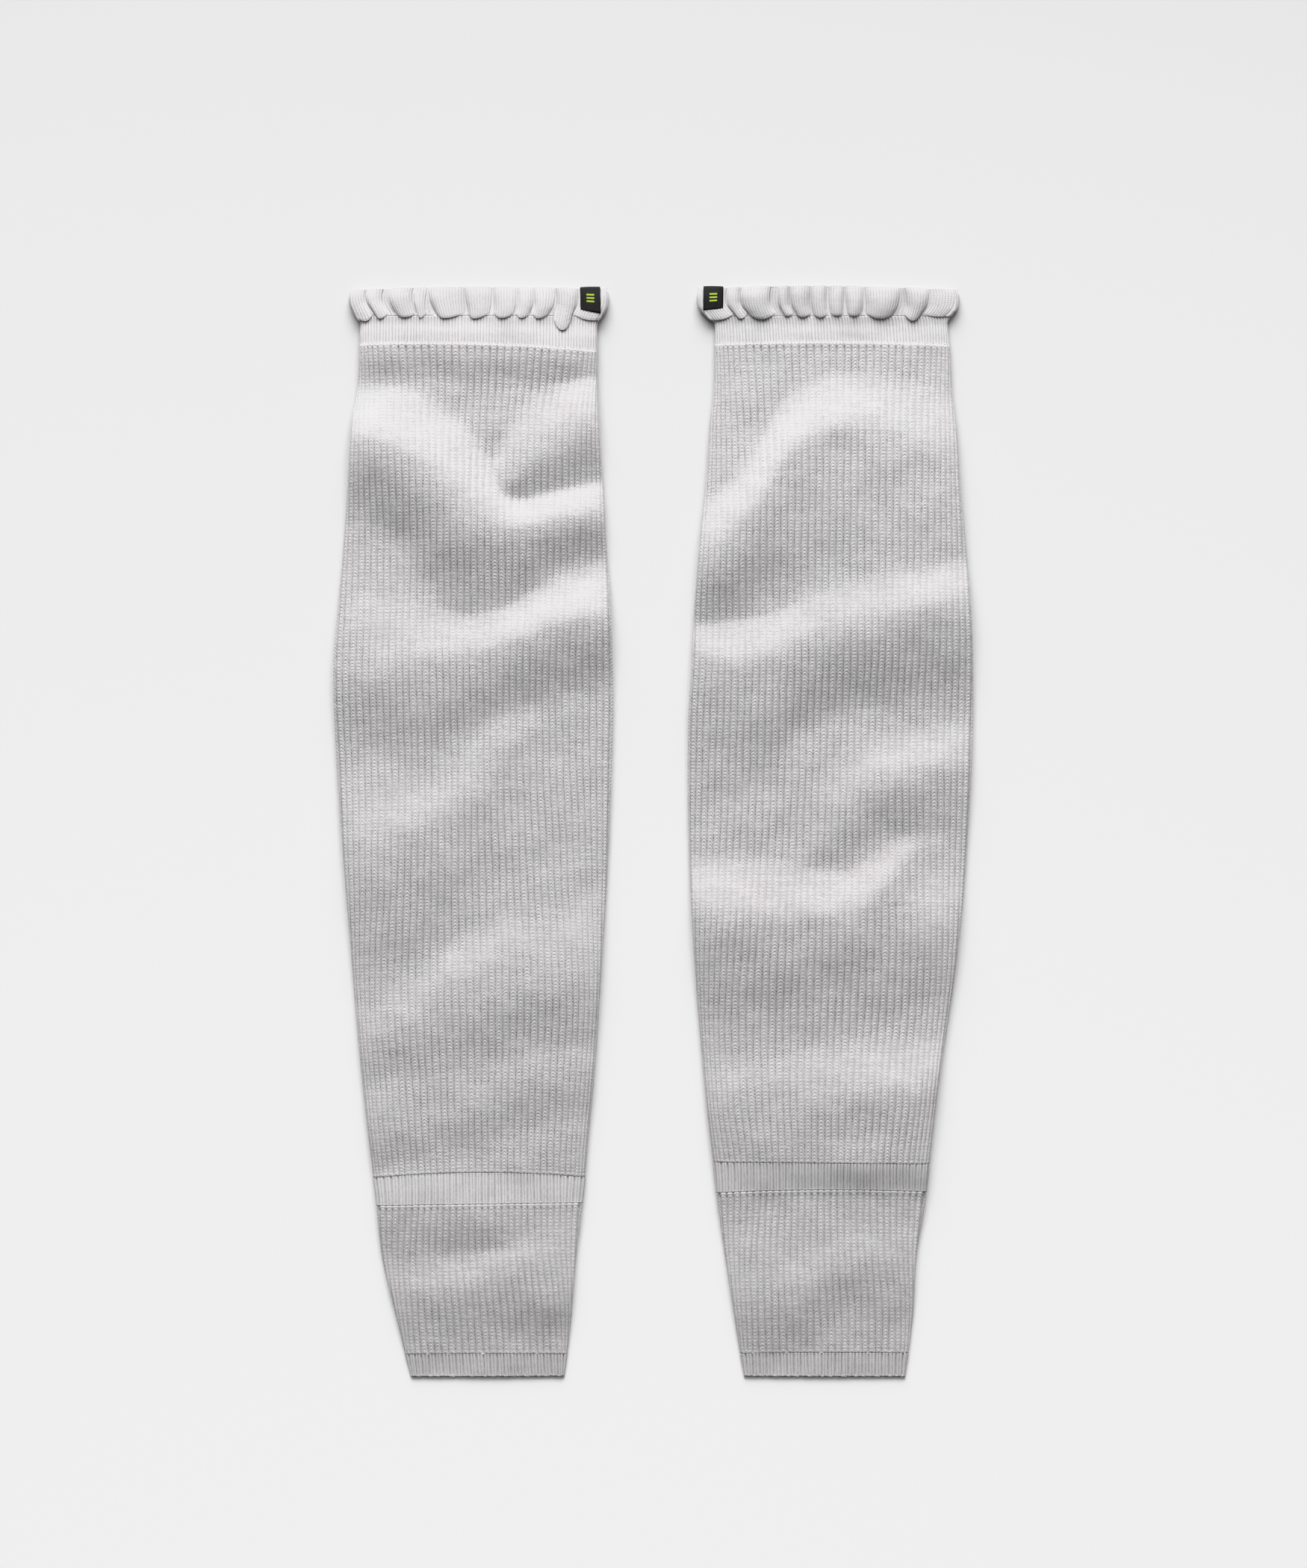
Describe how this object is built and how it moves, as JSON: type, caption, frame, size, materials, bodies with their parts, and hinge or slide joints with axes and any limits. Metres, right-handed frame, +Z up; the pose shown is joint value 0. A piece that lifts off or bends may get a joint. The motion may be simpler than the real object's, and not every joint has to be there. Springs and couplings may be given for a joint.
{
  "type": "pair of leg warmers",
  "caption": "Thigh-high ribbed knit leg warmers laid flat side by side, with a gathered ruffle over a fine rib band, soft diagonal folds, an ankle rib and tapered cuffs.",
  "frame": {"origin": "on the floor, below the middle of the pair's box, halfway between the two leg warmers", "axes": "+Y along the leg warmers from the cuffs to the ruffles, +X to the right seen from the front, +Z up from the floor through the flat cloth"},
  "size_m": [0.3518, 0.6002, 0.0152],
  "materials": {
    "chunky_knit": "pale grey wool blend in a chunky half-cardigan stitch, matt and slightly fuzzy",
    "fine_rib": "the same pale grey yarn in fine ribs, matt and slightly fuzzy",
    "label_cloth": "black woven label cloth with a fine grain"
  },
  "bodies": {
    "root": {"left_ruffle": "fine_rib", "left_label": "label_cloth", "left_top_band": "fine_rib", "left_leg": "chunky_knit", "left_ankle_rib": "fine_rib", "left_lower_leg": "chunky_knit", "left_cuff": "fine_rib", "right_ruffle": "fine_rib", "right_label": "label_cloth", "right_top_band": "fine_rib", "right_leg": "chunky_knit", "right_ankle_rib": "fine_rib", "right_lower_leg": "chunky_knit", "right_cuff": "fine_rib"}
  },
  "joints": []
}
